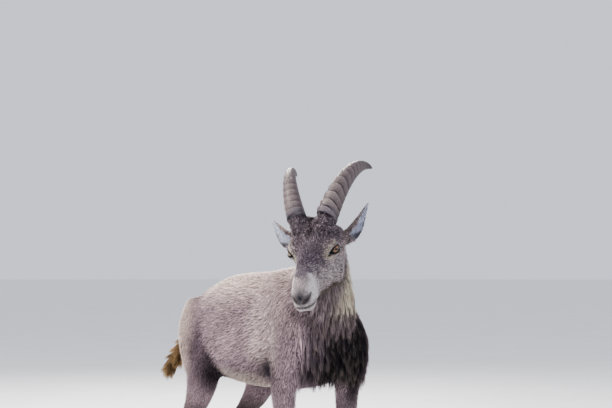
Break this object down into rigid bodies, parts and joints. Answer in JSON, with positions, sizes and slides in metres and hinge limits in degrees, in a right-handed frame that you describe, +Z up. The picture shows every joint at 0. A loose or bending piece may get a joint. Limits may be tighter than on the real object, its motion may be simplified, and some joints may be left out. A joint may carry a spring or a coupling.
{
  "type": "alpine ibex",
  "caption": "Young male alpine ibex standing with its head turned to its right, with ringed horns swept back, cupped ears, cloven hooves and a shaggy chest.",
  "frame": {"origin": "on the floor under the middle of the bounding box", "axes": "+X the way the body faces, +Y the animal's left, +Z up"},
  "size_m": [0.9378, 0.3869, 0.9162],
  "materials": {
    "coat": "short dense hair, pale grey-brown",
    "dark_coat": "short dense hair, dark brown",
    "ear_skin": "thin skin with fine pale hair",
    "horn": "grooved grey-brown horn, satin",
    "hoof": "dark horn, satin",
    "eye": "wet amber eye with a dark level pupil"
  },
  "bodies": {
    "root": {"head": "coat", "neck": "coat", "chest": "coat", "abdomen": "coat", "rump": "coat", "foreleg_upper_left": "coat", "hindleg_upper_left": "coat", "foreleg_upper_right": "coat", "hindleg_upper_right": "coat", "foreleg_lower_left": "dark_coat", "hindleg_lower_left": "dark_coat", "foreleg_lower_right": "dark_coat", "hindleg_lower_right": "dark_coat", "tail": "dark_coat", "ear_left": "ear_skin", "ear_right": "ear_skin", "horn_left": "horn", "horn_right": "horn", "eye_left": "eye", "eye_right": "eye", "hoof_fore_left_inner": "hoof", "hoof_fore_left_outer": "hoof", "hoof_fore_right_inner": "hoof", "hoof_fore_right_outer": "hoof", "hoof_hind_left_inner": "hoof", "hoof_hind_left_outer": "hoof", "hoof_hind_right_inner": "hoof", "hoof_hind_right_outer": "hoof"}
  },
  "joints": []
}
